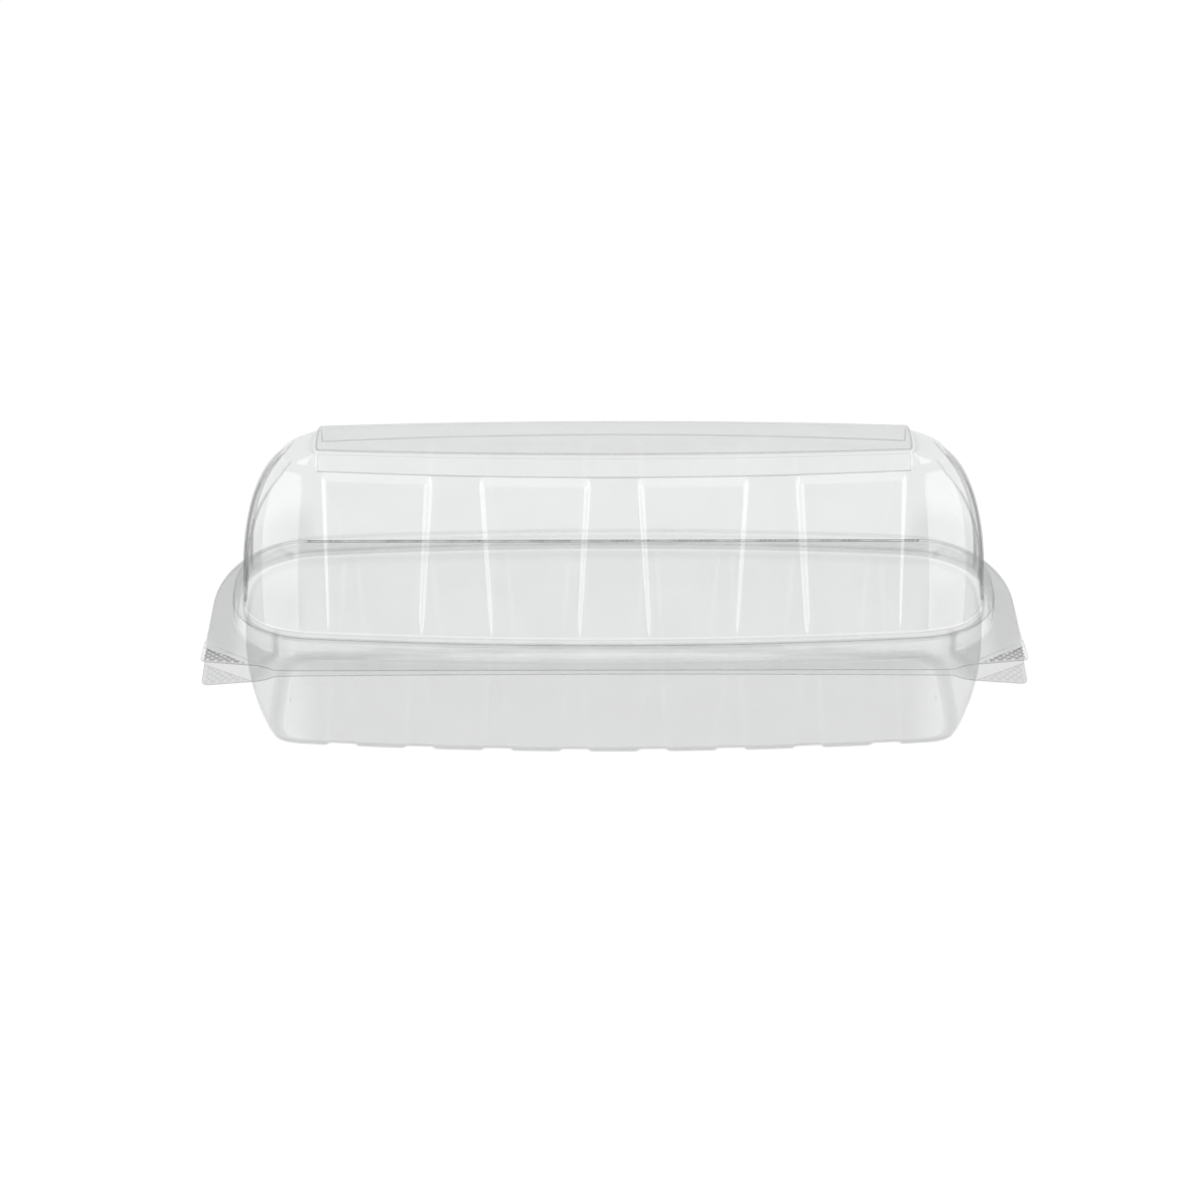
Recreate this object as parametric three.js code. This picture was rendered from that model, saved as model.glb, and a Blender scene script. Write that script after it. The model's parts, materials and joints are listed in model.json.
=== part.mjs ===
// Clear hinged clamshell carton: a fluted base tray and a tall domed lid, thermoformed from one sheet and
// folded along a living hinge at the rear. The regions of the sheet are modelled as separate thin shells that
// meet at its creases. Millimetres, +X along the carton, front at -Y, +Z up, origin under the middle on the floor.
import * as THREE from 'three';
import { mergeVertices } from 'three/addons/utils/BufferGeometryUtils.js';

// ---- Driving dimensions -------------------------------------------------------------------------------------
const SHEET = 0.6; // wall thickness
const SEAM = 0.3; // gap between neighbouring regions of the sheet
const PARTING_Z = 36.8; // height of the plane where lid and base flanges meet
const FLANGE_GAP = 0.3; // between the closed flanges
const LIP_BOTTOM = PARTING_Z - FLANGE_GAP / 2 - SHEET; // underside of the base flange
const LID_BOTTOM = PARTING_Z + FLANGE_GAP / 2; // underside of the lid flange

// Flange outline
const FLANGE = {
  halfLength: 136,
  front: -50,
  tabStartX: 113, // where the fold line of a pull tab meets the front edge
  tabStartY: -27, // and where it meets the end edge
  hingeHalf: 108, // half length of the hinge
  tabRound: 2.5, // radius of a tab's tip
};
const HINGE_Y = 49.33; // axis of the fold
const TAB_LIFT_DEG = 13.5; // lid tabs bend up
const TAB_DROP_DEG = 15; // base tabs bend down

// Lid heights above the parting plane
const LEDGE_UP = 7.1; // top of the collar
const CREASE_UP = 55; // where the walls meet the roof bands
const SHOULDER_UP = 60.4; // top of the domed ends
const ROOF_UP = 61.9; // flat roof panel
const LEDGE_WIDTH = 3.65; // from the dome to the outside of the collar
const KNEE = 98; // where the bowed sides turn into the rounded ends

// Lid plan sizes at those heights: half length, half depth and bow of the long sides
const AT_LEDGE = { length: 125.4, depth: 41.1, bow: 5.1e-4 };
const AT_CREASE = { length: 111.4, depth: 17.75, bow: 5.6e-4 };
const AT_ROOF = { length: 99.2, depth: 13.25, bow: 3.85e-4 };
const DOME_POWER = 2.35; // roundness of the end profile
const END_POWER = 2.85; // squareness of the rounded ends in plan

// Recessed window panels of the lid: [inner edge, outer edge] along X, at the ledge and at the crease
const WINDOWS_LOW = [[11.2, 40.8], [63.5, 95]];
const WINDOWS_HIGH = [[7.4, 45], [60, 97.6]];
const WINDOW_DEPTH = [0.8, 1.65]; // low, high
const WINDOW_SLOPE = [1, 2.7]; // width of their sloped sides
const WINDOW_TOP_UP = 51.6; // full depth up to here, then an upright strip to the crease
// Recesses of the domed ends, on both sides of a middle rib
const RIB_HALF = 2.2;
const END_RECESS = { depth: 1.2, slope: 1.1, low: 14, high: 10, top: 57.5 };

// Collar of the lid and raised rim of the base, which plugs into it
const COLLAR_CLEARANCE = 0.6;
const RIM_UP = 5.5;
const RIM_WIDTH = 2.6;
const SNAP = { from: 25.7, to: 53.3, low: 1.6, high: 4.4, lid: 0.6, base: 0.3 };

// Base tray: plan sizes at the rim and at the floor
const TRAY_TOP = { length: 124.4, depth: 41.4, bow: 5.1e-4, power: 3 };
const TRAY_FLOOR = { length: 116.8, depth: 38, bow: 5.4e-4, power: 5 };
const TRAY_KNEE = 102;
const TRAY_BULGE = 2.8; // how far the end profile bows out between rim and floor
const FOOT_CHAMFER = 1.2;
const FLUTES = [13.1, 39.2, 65.4, 91.5]; // flute centres, mirrored
const FLUTE = { topWidth: 6.5, floorWidth: 11.2, topDepth: 1.2, floorDepth: 2.3, slope: 1.8 };

const CLEAR = { color: 0xe3e7e8, roughness: 0.08, metalness: 0, transparent: true, opacity: 0.35 };

const STEEP = 0.5; // a wall whose normal rises less than this counts as steep

// ---- Helpers ------------------------------------------------------------------------------------------------
const lerp = THREE.MathUtils.lerp;
const turned = (p) => new THREE.Vector2(-p.x, -p.y);
const mirroredPairs = (pairs) => [...pairs].reverse().map(([x, inset]) => [-x, inset]);

/** Half depth of a plan with bowed long sides, at length position x. */
function halfDepth(plan, x) {
  return plan.depth - plan.bow * x * x;
}

/** Closed plan outline, anticlockwise from above, from [x, inset] marks along the front side and [y, inset]
 * marks along the right end. The rear side and left end are the same, turned half round. */
function outline(plan, sideMarks, endMarks) {
  const side = sideMarks.map(([x, inset]) => new THREE.Vector2(x, inset - halfDepth(plan, x)));
  const half = halfDepth(plan, plan.knee);
  const end = endMarks.map(([y, inset]) => {
    const reach = (1 - Math.abs(y / half) ** plan.power) ** (1 / plan.power);
    const x = plan.knee + (plan.length - plan.knee) * reach;
    return new THREE.Vector2(x - inset, (y * halfDepth(plan, x)) / half);
  });
  return [...side, ...end, ...side.map(turned), ...end.map(turned)];
}

/** Marks of a rounded end that has no recess. */
function plainEnd(plan, steps = 12) {
  const half = halfDepth(plan, plan.knee);
  const marks = [];
  for (let i = 1; i < steps; i++) {
    const angle = Math.PI * (i / steps - 0.5);
    marks.push([half * Math.sign(angle) * Math.abs(Math.sin(angle)) ** (2 / plan.power), 0]);
  }
  return marks;
}

/** The outline moved outward by a distance in its own plane. */
function grown(points, distance) {
  return points.map((p, i) => {
    const before = points[(i + points.length - 1) % points.length];
    const after = points[(i + 1) % points.length];
    const along = after.clone().sub(before).normalize();
    return new THREE.Vector2(p.x + along.y * distance, p.y - along.x * distance);
  });
}

/** A ring of 3-D points: a plan outline at one height. */
function ring(points, z) {
  return points.map((p) => new THREE.Vector3(p.x, p.y, z));
}

/** Closed body through rings with equal point counts. Outside rings run upward and inside rings downward.
 * With caps, flat faces close the first and last ring; otherwise the last ring joins the first. */
function loft(rings, capped) {
  const count = rings[0].length;
  const positions = rings.flat().flatMap((p) => [p.x, p.y, p.z]);
  const index = [];
  const bands = capped ? rings.length - 1 : rings.length;
  for (let i = 0; i < bands; i++) {
    const low = i * count;
    const high = ((i + 1) % rings.length) * count;
    for (let j = 0; j < count; j++) {
      const k = (j + 1) % count;
      index.push(low + j, low + k, high + k, low + j, high + k, high + j);
    }
  }
  if (capped) {
    const last = (rings.length - 1) * count;
    const flat = (points) => points.map((p) => new THREE.Vector2(p.x, p.y));
    for (const [a, b, c] of THREE.ShapeUtils.triangulateShape(flat(rings[0]), [])) index.push(c, b, a);
    for (const [a, b, c] of THREE.ShapeUtils.triangulateShape(flat(rings.at(-1)), [])) {
      index.push(last + a, last + b, last + c);
    }
  }
  const geometry = new THREE.BufferGeometry();
  geometry.setAttribute('position', new THREE.Float32BufferAttribute(positions, 3));
  geometry.setIndex(index);
  return geometry;
}

/** Rings moved inward by the sheet's thickness, square to the surface. The first and last ring keep their
 * height where the wall is steep. */
function insideOf(rings) {
  return rings.map((points, i) => {
    const below = rings[Math.max(i - 1, 0)];
    const above = rings[Math.min(i + 1, rings.length - 1)];
    return points.map((p, j) => {
      const count = points.length;
      const along = points[(j + 1) % count].clone().sub(points[(j + count - 1) % count]);
      const normal = along.cross(above[j].clone().sub(below[j])).normalize();
      const moved = p.clone().addScaledVector(normal, -SHEET);
      const atEdge = i === 0 || i === rings.length - 1;
      if (atEdge && Math.abs(normal.z) < STEEP) moved.z = p.z;
      return moved;
    });
  });
}

/** Flat plate between an outline and an optional hole, extruded upward from z. */
function plate(outer, hole, z) {
  const shape = new THREE.Shape(outer);
  if (hole) shape.holes.push(new THREE.Path(hole));
  const solid = new THREE.ExtrudeGeometry(shape, { depth: SHEET, bevelEnabled: false });
  solid.translate(0, 0, z);
  return welded(solid);
}

/** The same geometry with shared vertices. */
function welded(geometry) {
  geometry.deleteAttribute('normal');
  geometry.deleteAttribute('uv');
  return mergeVertices(geometry);
}

// ---- Lid ----------------------------------------------------------------------------------------------------
/** Plan of the lid's dome at a height above the parting plane. */
function domePlan(up) {
  const rise = Math.min((up - LEDGE_UP) / (SHOULDER_UP - LEDGE_UP), 1);
  const reach = Math.max(1 - rise ** DOME_POWER, 0) ** (1 / DOME_POWER);
  const wall = (up - LEDGE_UP) / (CREASE_UP - LEDGE_UP);
  const band = (up - CREASE_UP) / (ROOF_UP - CREASE_UP);
  const [from, to, t] = up < CREASE_UP ? [AT_LEDGE, AT_CREASE, wall] : [AT_CREASE, AT_ROOF, band];
  return {
    length: AT_ROOF.length + (AT_LEDGE.length - AT_ROOF.length) * reach,
    depth: lerp(from.depth, to.depth, t),
    bow: lerp(from.bow, to.bow, t),
    power: END_POWER,
    knee: KNEE,
  };
}

/** [x, inset] marks of the window panels at a height on the front wall. */
function windowMarks(up) {
  const t = Math.min((up - LEDGE_UP) / (CREASE_UP - LEDGE_UP), 1);
  const depth = up > WINDOW_TOP_UP ? 0 : lerp(...WINDOW_DEPTH, t);
  const slope = lerp(...WINDOW_SLOPE, t);
  const right = WINDOWS_LOW.flatMap(([low0, low1], i) => {
    const start = lerp(low0, WINDOWS_HIGH[i][0], t);
    const end = lerp(low1, WINDOWS_HIGH[i][1], t);
    return [[start, 0], [start + slope, depth], [end - slope, depth], [end, 0]];
  });
  return [[-KNEE, 0], ...mirroredPairs(right), ...right, [KNEE, 0]];
}

/** [y, inset] marks of a domed end with a recess on each side of its middle rib. */
function ribbedEndMarks(plan, up) {
  const { depth, slope, low, high, top } = END_RECESS;
  const half = halfDepth(plan, plan.knee);
  const t = THREE.MathUtils.clamp((up - LEDGE_UP) / (top - LEDGE_UP), 0, 1);
  const outer = Math.min(lerp(low, high, t) + slope, half * 0.86);
  const inset = up < top ? depth : 0;
  const corner = [0.97, 0.88, 0.72, 0.5, 0.25].map((s) => [lerp(outer, half, s), 0]);
  const front = [...corner, [outer, 0], [outer - slope, inset], [RIB_HALF + slope, inset], [RIB_HALF, 0]];
  const rear = [...front].reverse();
  return [...front.map(([y, step]) => [-y, step]), ...rear];
}

function lidDome() {
  const brim = SHOULDER_UP - SEAM;
  const heights = [LEDGE_UP + SEAM, 20, 32, 43, WINDOW_TOP_UP, CREASE_UP, 57.6, 59.2, brim - 0.1];
  const dome = (plan, up) => ring(outline(plan, windowMarks(up), ribbedEndMarks(plan, up)), PARTING_Z + up);
  const outside = heights.map((up) => dome(domePlan(up), up));
  outside.push(dome({ ...domePlan(brim), length: AT_ROOF.length + SEAM }, brim));
  return loft([...outside, ...insideOf(outside).reverse()], false);
}

/** The flat roof panel with the short step around it. */
function lidRoof() {
  const plan = { ...AT_ROOF, power: END_POWER, knee: KNEE };
  const top = outline(plan, [-KNEE, -60, -30, 0, 30, 60, KNEE].map((x) => [x, 0]), plainEnd(plan, 8));
  const foot = top.map((p) => new THREE.Vector2(p.x, p.y + Math.sign(p.y) * 0.95));
  const topZ = PARTING_Z + ROOF_UP;
  const footZ = PARTING_Z + SHOULDER_UP;
  return loft([
    ring(grown(top, -SHEET), topZ - SHEET),
    ring(grown(foot, -SHEET), footZ),
    ring(foot, footZ),
    ring(top, topZ),
  ], true);
}

/** Plain plan of the foot of the dome, from which collar and rim are grown. Marks carry the snap bars. */
function collarOutline(distance, snapStep) {
  const plan = domePlan(LEDGE_UP);
  const { from, to } = SNAP;
  const right = [[from - 0.8, 0], [from, -snapStep], [to, -snapStep], [to + 0.8, 0], [76, 0]];
  const marks = [[-KNEE, 0], ...mirroredPairs(right), [0, 0], ...right, [KNEE, 0]];
  return grown(outline(plan, marks, plainEnd(plan)), distance);
}

/** Collar of the lid: an upright band with snap bars, and the ledge that carries the dome. */
function lidSkirt() {
  const band = (step, up) => ring(collarOutline(LEDGE_WIDTH, step), PARTING_Z + up);
  const lining = (step, up) => ring(collarOutline(LEDGE_WIDTH - SHEET, step), PARTING_Z + up);
  const foot = FLANGE_GAP / 2;
  const { low, high, lid } = SNAP;
  return loft([
    band(0, foot),
    band(0, low - 0.5),
    band(lid, low),
    band(lid, high),
    band(0, high + 0.5),
    band(0, LEDGE_UP - 0.5),
    ring(collarOutline(LEDGE_WIDTH - 0.5, 0), PARTING_Z + LEDGE_UP),
    ring(collarOutline(-1.5, 0), PARTING_Z + LEDGE_UP),
    ring(collarOutline(-1.5, 0), PARTING_Z + LEDGE_UP - SHEET),
    lining(0, LEDGE_UP - SHEET),
    lining(0, high + 0.5),
    lining(lid, high),
    lining(lid, low),
    lining(0, low - 0.5),
    lining(0, foot),
  ], false);
}

// ---- Flanges, tabs and hinge --------------------------------------------------------------------------------
/** Outline of a flange without its tab corners, anticlockwise from above. */
function flangeOutline() {
  const { halfLength, front, tabStartX, tabStartY, hingeHalf } = FLANGE;
  const rear = HINGE_Y - SEAM;
  const shape = new THREE.Shape();
  shape.moveTo(-tabStartX, front);
  shape.lineTo(tabStartX, front);
  shape.lineTo(halfLength, tabStartY);
  shape.lineTo(halfLength, 0);
  shape.absellipse(hingeHalf, 0, halfLength - hingeHalf, rear, 0, Math.PI / 2, false, 0);
  shape.lineTo(-hingeHalf, rear);
  shape.absellipse(-hingeHalf, 0, halfLength - hingeHalf, rear, Math.PI / 2, Math.PI, false, 0);
  shape.lineTo(-halfLength, tabStartY);
  return shape.extractPoints(8).shape;
}

function lidFlange() {
  return plate(flangeOutline(), collarOutline(LEDGE_WIDTH + SEAM, 0), LID_BOTTOM);
}

function baseFlange() {
  const rimOutside = collarOutline(LEDGE_WIDTH - SHEET - COLLAR_CLEARANCE + SEAM, 0);
  return plate(flangeOutline(), rimOutside, LIP_BOTTOM);
}

/** A three-cornered pull tab with a rounded tip, bent about its fold line at a front corner. */
function tabMesh(name, side, z, degrees) {
  const { halfLength, front, tabStartX, tabStartY, tabRound } = FLANGE;
  const foldA = new THREE.Vector2(side * tabStartX, front);
  const foldB = new THREE.Vector2(side * halfLength, tabStartY);
  const fold = foldB.clone().sub(foldA).normalize();
  const outward = new THREE.Vector2(side * halfLength, front).sub(foldA);
  outward.addScaledVector(fold, -outward.dot(fold)).normalize();
  const local = (x, y) => {
    const p = new THREE.Vector2(x, y).sub(foldA);
    return new THREE.Vector2(p.dot(fold), p.dot(outward));
  };
  const corner = [];
  for (let i = 0; i <= 6; i++) {
    const angle = (i / 6) * (Math.PI / 2);
    const x = halfLength - tabRound + tabRound * Math.sin(angle);
    const y = front + tabRound - tabRound * Math.cos(angle);
    corner.push(local(side * x, y));
  }
  const trimmed = (a, b) => a.clone().lerp(b, SEAM / Math.abs(b.y - a.y));
  const nearFront = trimmed(new THREE.Vector2(0, 0), corner[0]);
  const nearEnd = trimmed(local(foldB.x, foldB.y), corner.at(-1));
  const points = [nearFront, ...corner, nearEnd];
  if (THREE.ShapeUtils.isClockWise(points)) points.reverse();
  const shape = new THREE.Shape(points);
  const geometry = welded(new THREE.ExtrudeGeometry(shape, { depth: SHEET, bevelEnabled: false }));
  // Local x runs along the fold, local y out to the tip, local z up (or down on the left side).
  const along = new THREE.Vector3(fold.x, fold.y, 0);
  const out = new THREE.Vector3(outward.x, outward.y, 0);
  const up = new THREE.Vector3().crossVectors(along, out);
  geometry.translate(0, 0, up.z > 0 ? 0 : -SHEET);
  const mesh = new THREE.Mesh(geometry, clearPlastic());
  mesh.name = name;
  const placed = new THREE.Matrix4().makeBasis(along, out, up).setPosition(foldA.x, foldA.y, z);
  const bend = new THREE.Matrix4().makeRotationX(THREE.MathUtils.degToRad(degrees * Math.sign(up.z)));
  placed.multiply(bend).decompose(mesh.position, mesh.quaternion, mesh.scale);
  return mesh;
}

/** The folded film that joins both flanges: half a tube along the rear edge. */
function hingeStrip() {
  const inner = FLANGE_GAP / 2;
  const shape = new THREE.Shape();
  shape.absarc(0, 0, inner + SHEET, -Math.PI / 2, Math.PI / 2, false);
  shape.absarc(0, 0, inner, Math.PI / 2, -Math.PI / 2, true);
  const length = 2 * FLANGE.hingeHalf;
  const settings = { depth: length, bevelEnabled: false, curveSegments: 8 };
  const solid = new THREE.ExtrudeGeometry(shape, settings);
  solid.rotateY(Math.PI / 2).rotateX(Math.PI / 2);
  solid.translate(-length / 2, HINGE_Y, PARTING_Z);
  return welded(solid);
}

// ---- Base ---------------------------------------------------------------------------------------------------
/** Raised rim of the base: an inverted channel that plugs into the collar. */
function baseRim() {
  const outer = LEDGE_WIDTH - SHEET - COLLAR_CLEARANCE;
  const at = (inward, step, up) => ring(collarOutline(outer - inward, step), PARTING_Z + up);
  const foot = LIP_BOTTOM - PARTING_Z;
  const { low, high, base } = SNAP;
  return loft([
    at(0, 0, foot),
    at(0, 0, low - 0.5),
    at(0, base, low),
    at(0, base, high),
    at(0, 0, high + 0.5),
    at(0.4, 0, RIM_UP),
    at(RIM_WIDTH - 0.4, 0, RIM_UP),
    at(RIM_WIDTH, 0, RIM_UP - 0.5),
    at(RIM_WIDTH, 0, foot),
    at(RIM_WIDTH - SHEET, 0, foot),
    at(RIM_WIDTH - SHEET, 0, RIM_UP - SHEET),
    at(SHEET, 0, RIM_UP - SHEET),
    at(SHEET, 0, foot),
  ], false);
}

/** Plan of the tray at a share of its depth, 0 at the rim and 1 at the floor. */
function trayPlan(t) {
  const bulge = TRAY_BULGE * 4 * t * (1 - t);
  return {
    length: lerp(TRAY_TOP.length, TRAY_FLOOR.length, t) + bulge,
    depth: lerp(TRAY_TOP.depth, TRAY_FLOOR.depth, t),
    bow: lerp(TRAY_TOP.bow, TRAY_FLOOR.bow, t),
    power: lerp(TRAY_TOP.power, TRAY_FLOOR.power, t),
    knee: TRAY_KNEE,
  };
}

/** [x, inset] marks of the flutes at a share of the tray's depth. */
function fluteMarks(t) {
  const half = lerp(FLUTE.topWidth, FLUTE.floorWidth, t) / 2;
  const depth = lerp(FLUTE.topDepth, FLUTE.floorDepth, t);
  const right = FLUTES.flatMap((x) => [
    [x - half, 0],
    [x - half + FLUTE.slope, depth],
    [x + half - FLUTE.slope, depth],
    [x + half, 0],
  ]);
  return [[-TRAY_KNEE, 0], ...mirroredPairs(right), ...right, [TRAY_KNEE, 0]];
}

function baseTray() {
  const top = LIP_BOTTOM - SEAM;
  const wall = [1 - FOOT_CHAMFER / top, 0.75, 0.5, 0.25, 0].map((t) => {
    const plan = trayPlan(t);
    return ring(outline(plan, fluteMarks(t), plainEnd(plan)), top * (1 - t));
  });
  const plan = trayPlan(1);
  const foot = grown(outline(plan, fluteMarks(1), plainEnd(plan)), -FOOT_CHAMFER);
  return loft([
    ring(foot, 0),
    ...wall,
    ...insideOf(wall).reverse(),
    ring(grown(foot, -0.3), SHEET),
  ], true);
}

// ---- Assembly -----------------------------------------------------------------------------------------------
function clearPlastic() {
  return new THREE.MeshStandardMaterial(CLEAR);
}

function region(name, geometry) {
  const mesh = new THREE.Mesh(geometry, clearPlastic());
  mesh.name = name;
  return mesh;
}

const base = new THREE.Group();
base.add(
  region('base_tray', baseTray()),
  region('base_rim', baseRim()),
  region('base_flange', baseFlange()),
  tabMesh('base_tab_left', -1, LIP_BOTTOM, -TAB_DROP_DEG),
  tabMesh('base_tab_right', 1, LIP_BOTTOM, -TAB_DROP_DEG),
  region('hinge_strip', hingeStrip()),
);

const lid = new THREE.Group();
lid.add(
  region('lid_dome', lidDome()),
  region('lid_roof', lidRoof()),
  region('lid_skirt', lidSkirt()),
  region('lid_flange', lidFlange()),
  tabMesh('lid_tab_left', -1, LID_BOTTOM, TAB_LIFT_DEG),
  tabMesh('lid_tab_right', 1, LID_BOTTOM, TAB_LIFT_DEG),
);

const carton = new THREE.Group();
carton.add(base, lid);
export default carton;
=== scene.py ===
"""Clear hinged clamshell carton: a fluted tray and a domed lid, formed from one sheet of clear plastic.

Each half is one continuous thin sheet, lofted through rings of points from its cut edge to its floor or
roof. Lengths are in millimetres until a mesh is made, and in metres in the studio."""

import json
import math

import bmesh
import bpy
import numpy as np
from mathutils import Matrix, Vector


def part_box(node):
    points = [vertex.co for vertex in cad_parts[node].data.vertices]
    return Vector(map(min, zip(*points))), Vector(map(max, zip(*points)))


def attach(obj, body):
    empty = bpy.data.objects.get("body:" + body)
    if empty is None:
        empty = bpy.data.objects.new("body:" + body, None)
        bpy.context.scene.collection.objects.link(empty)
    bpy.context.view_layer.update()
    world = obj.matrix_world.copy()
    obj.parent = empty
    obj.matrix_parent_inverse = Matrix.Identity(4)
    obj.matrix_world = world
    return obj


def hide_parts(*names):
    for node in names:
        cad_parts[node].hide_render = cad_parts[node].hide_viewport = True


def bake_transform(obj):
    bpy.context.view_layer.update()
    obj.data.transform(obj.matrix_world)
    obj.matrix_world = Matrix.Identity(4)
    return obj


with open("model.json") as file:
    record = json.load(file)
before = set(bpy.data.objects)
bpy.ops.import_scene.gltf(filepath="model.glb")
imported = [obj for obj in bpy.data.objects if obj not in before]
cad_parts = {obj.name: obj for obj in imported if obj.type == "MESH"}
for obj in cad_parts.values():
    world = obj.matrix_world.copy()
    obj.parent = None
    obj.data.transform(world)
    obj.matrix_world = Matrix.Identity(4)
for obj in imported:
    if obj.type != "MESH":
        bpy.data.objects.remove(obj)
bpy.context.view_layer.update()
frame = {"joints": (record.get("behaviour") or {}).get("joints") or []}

MM = 0.001

# ---- Sizes taken from the frame --------------------------------------------------------------------------
hinge = next(j for j in frame["joints"] if j["name"] == "lid_hinge")
HINGE_Y = hinge["pos_m"][1] / MM
PARTING_Z = hinge["pos_m"][2] / MM
HALF_LENGTH = float(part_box("lid_flange")[1][0]) / MM
FRONT_Y = float(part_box("lid_flange")[0][1]) / MM
ROOF_UP = float(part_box("lid_roof")[1][2]) / MM - PARTING_Z
LEDGE_UP = float(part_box("lid_skirt")[1][2]) / MM - PARTING_Z
RIM_UP = float(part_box("base_rim")[1][2]) / MM - PARTING_Z

# ---- The sheet -------------------------------------------------------------------------------------------
SHEET = 0.4
HALF_SHEET = SHEET / 2
MITRE_LIMIT = 1.3  # the sheet grows no thicker than this many times in a sharp crease
LEAF = 0.35  # the middle of each flange lies this far from the parting plane
KNEE = 98.0  # where the bowed long sides turn into the rounded ends
CREASE_UP = 55.0  # where the walls of the lid meet the roof bands
SHOULDER_UP = ROOF_UP - 1.5  # top of the domed ends

# Lid plans: half length, half depth and bow of the long sides. A power says how square a rounded shape is.
AT_LEDGE = dict(length=125.2, depth=40.9, bow=5.1e-4)
AT_CREASE = dict(length=111.2, depth=17.55, bow=5.6e-4)
AT_ROOF = dict(length=99.0, depth=13.4, bow=3.85e-4)
DOME_POWER = 2.35
END_POWER = 2.85
ROOF_POWER = 2.7
COLLAR_OUT = 3.65 - HALF_SHEET  # from the foot of the dome to the skirt
COLLAR_ROUND = 0.35  # radius of the bends at the foot and the top of collar and rim
ARC_MIDDLE = 0.3  # the middle of such a bend lies this share of its radius from either side
# The long sides of collar and rim stand out between the corners, with painted shade on the slope at each end
PROUD = dict(half=111.4, out=0.7, slope=0.9, fold=0.6)

# Window panels of the lid: inner edge and outer edge of each, at the ledge and at the crease
WINDOWS_LOW = ((11.2, 40.8), (63.5, 95.0))
WINDOWS_HIGH = ((7.4, 45.0), (60.0, 97.4))
WINDOW_DEPTH = (0.8, 1.65)
WINDOW_SLOPE = (0.9, 2.2)
WINDOW_TOP_UP = 51.6
# Painted light on the sloped sides of the window panels
WINDOW_PAINTED_SHADING = -0.1
RIB_HALF = 2.2
# The recesses beside the rib on each end: how far out they reach at the ledge and at their top, with painted
# shade on their sloped sides
END_RECESS = dict(depth=1.2, slope=0.9, low=14.0, high=10.0, top=57.5, fold=1.3)
ROOF_STEP = 0.7  # the bands below the roof stand out from the domed ends by this much

# Base: rim and tray
RIM_OUT = 2.15
RIM_WIDTH = 2.2
TRAY_TOP = dict(length=124.2, depth=41.1, bow=5.1e-4, power=3.0)
TRAY_FLOOR = dict(length=116.6, depth=38.5, bow=5.4e-4, power=5.3)
TRAY_BULGE = 2.9
FOOT_ROUND = 0.7
FLUTES = (13.1, 39.2, 65.4, 91.5)  # their middles, on each half of a long side
FLUTE_WIDTH = (6.5, 11.6)  # at the top of the tray, then at the floor
FLUTE_DEPTH = (0.9, 1.6)
FLUTE_SLOPE = (2.2, 1.9)
# Painted light on the sloped sides of the flutes
FLUTE_PAINTED_SHADING = -0.06
PLAIN_MARKS = 12.0  # on an end without recesses, the marks of its corners start this far out

# Snap bars, tabs and hinge
SNAP = dict(start=25.7, end=53.3, end_slope=0.8, low=1.4, high=4.6, slope=0.6, lid=0.6, base=0.3)
TAB_ROUND = 2.5
BEND_X, BEND_Y = 111.0, -29.0  # a tab folds on the line from here on the front edge to here on the end edge
BEND_SOFT = 3.5
LID_BEND = (1.3, 0.14)  # step at the fold, then slope to the tip
BASE_BEND = (-1.3, -0.105)
KNURL_X, KNURL_Y = 119.0, -37.5  # the knurl starts on the line between these, in the same way
KNURL_PITCH = (2.7, 3.1)
LID_KNURL = (0.25, 1.0)  # height of the ridges, and the painted shade on them
BASE_KNURL = (-0.1, 0.6)  # pressed down, and fainter
KNURL_RIDGE = 0.3  # width of a ridge at its foot, as a share of the pitch
KNURL_MARGIN = 0.9  # plain margin along the free edges
DROOP = (0.8, 0.55)  # the base flange hangs lower at the front: by this much, and this much more at the tabs
HINGE_HALF = 108.0
CRIMP_HEIGHT = 0.2

# Painted shading of the sheet, region by region, above 0 painted shade and below 0 painted light: see the
# note on painted shading under "Plan outlines"
LID_FLANGE_PAINTED_SHADING = dict(middle=-0.15, ends=0.3, ends_from=122.0, slope=8.0)
BASE_FLANGE_PAINTED_SHADING = dict(middle=-0.38, ends=0.3, ends_from=110.0, slope=8.0)
FRONT_WALL_PAINTED_SHADING = dict(fold=0.45, end=110.0, slope=12.0)  # on the front of the tray, between its corners
# On the rear of collar and rim: at the foot, and higher up
REAR_PAINTED_SHADING = dict(foot=0.3, above=-0.9, start_y=15.0, slope=15.0, low=1.0, rise=2.5)
CORNER_PAINTED_SHADING = dict(fold=0.35, start=100.0, slope=8.0, top=30.0, fade=16.0)  # low on the ends of the lid
KNEE_PAINTED_SHADING = 1.1  # where the roof bands end
SNAP_PAINTED_SHADING = -1.2  # along the edges of the snap bars

# The film
MIRRORED = (0.045, 0.98)  # share of the light that is mirrored, face on and edge on
MIRROR_POWER = 10.0  # the higher, the nearer to edge on the mirroring starts
ASLANT_POWER = 16.0  # the same for the loss of light edge on, which is painted shade
SHINE = 0.95  # strength of the reflections face on
EDGE_SHINE_LOSS = 0.15
CLEAREST = 0.997  # no film lets more light through than this


# ---- Small maths -----------------------------------------------------------------------------------------
def lerp(a, b, t):
    return a + (b - a) * t


def clamp(value, low=0.0, high=1.0):
    return min(max(value, low), high)


def smooth(t):
    t = np.clip(t, 0.0, 1.0)
    return t * t * (3 - 2 * t)


def crest(share):
    """1 halfway up a slope and 0 at both its ends."""
    return 4 * share * (1 - share)


def mix_plans(a, b, t):
    return {key: lerp(a[key], b[key], t) for key in a}


def half_depth(plan, x):
    """Half depth of a plan at length position x, up to the knee."""
    return plan["depth"] - plan["bow"] * x * x


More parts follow.
